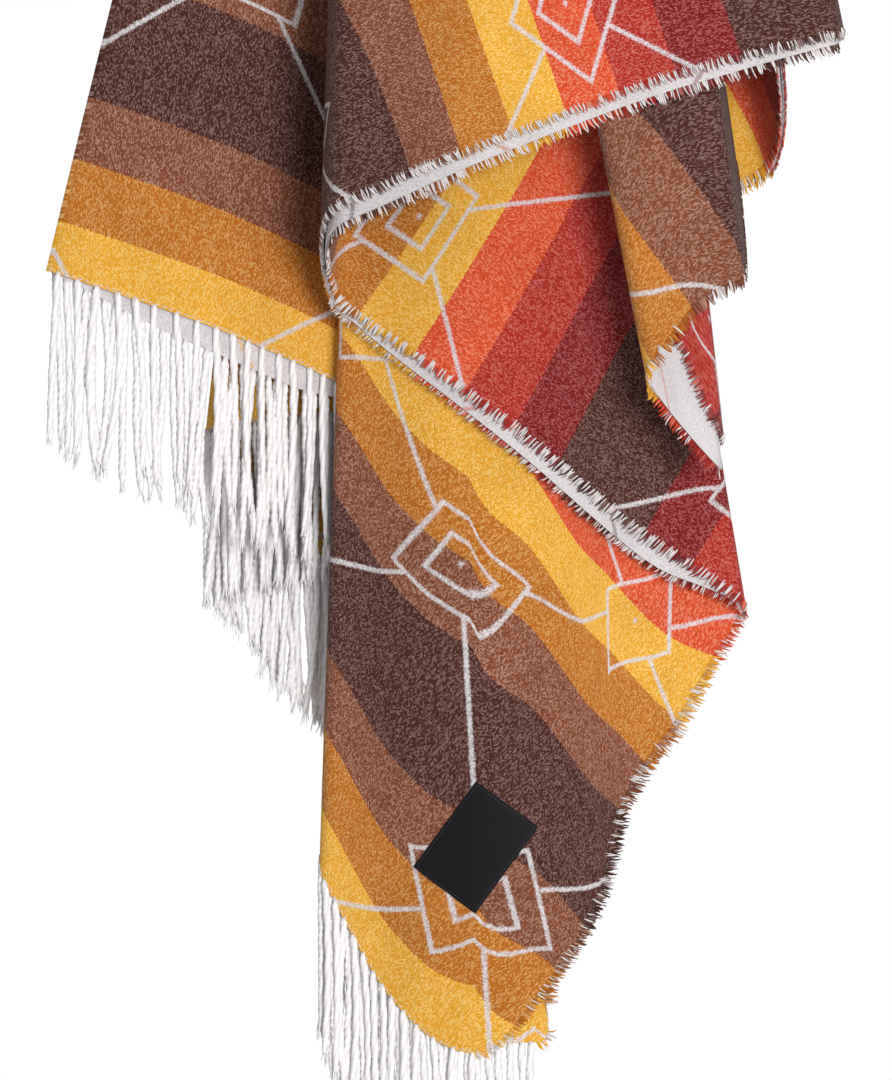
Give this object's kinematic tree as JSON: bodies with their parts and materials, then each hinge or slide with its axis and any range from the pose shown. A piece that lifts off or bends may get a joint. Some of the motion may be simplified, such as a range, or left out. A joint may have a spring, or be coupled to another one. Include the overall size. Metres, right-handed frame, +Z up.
{
  "type": "hanging folded blanket",
  "caption": "Striped wool throw doubled along its centre line and hung from one point, falling in cascading folds with fringed ends and a small bare woven label.",
  "frame": {"origin": "the point on the centre fold that the blanket hangs from, just inside its top edge", "axes": "+Z up, against gravity; -Y towards the viewer of the front; +X to the viewer's right"},
  "size_m": [0.4627, 0.2094, 1.2662],
  "materials": {
    "brushed_wool": "matt, brushed",
    "fringe_yarn": "matt twisted yarn",
    "woven_label": "smooth tight weave"
  },
  "bodies": {
    "root": {"blanket": "brushed_wool", "fringe_near": "fringe_yarn", "fringe_far": "fringe_yarn", "label": "woven_label"}
  },
  "joints": []
}
